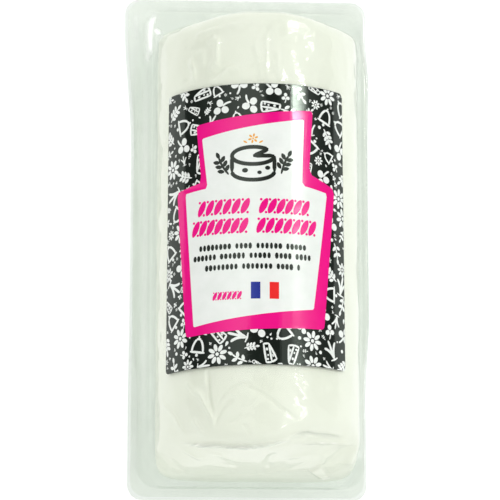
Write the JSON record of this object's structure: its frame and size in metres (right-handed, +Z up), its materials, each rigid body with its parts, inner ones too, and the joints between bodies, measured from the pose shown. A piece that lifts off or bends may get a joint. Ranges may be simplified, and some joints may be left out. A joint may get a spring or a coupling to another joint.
{
  "type": "packed goat cheese log",
  "caption": "Wrapped log of fresh goat cheese, vacuum-sealed between a clear formed tray and a clear top film, with a printed label over its crest.",
  "frame": {"origin": "middle of the pack's underside, at the centre of its bounding box", "axes": "+Z up through the label, +Y along the log towards its plain back end, +X across the pack"},
  "size_m": [0.1018, 0.2102, 0.0815],
  "materials": {
    "cheese_wrap": "soft white wrap, slightly creased",
    "clear_tray": "clear formed plastic, slightly green",
    "clear_film": "clear glossy film",
    "printed_label": "printed film label, dark ground with a white and pink field"
  },
  "bodies": {
    "root": {"wrapped_log": "cheese_wrap", "tray": "clear_tray", "top_film": "clear_film", "label": "printed_label"}
  },
  "joints": []
}
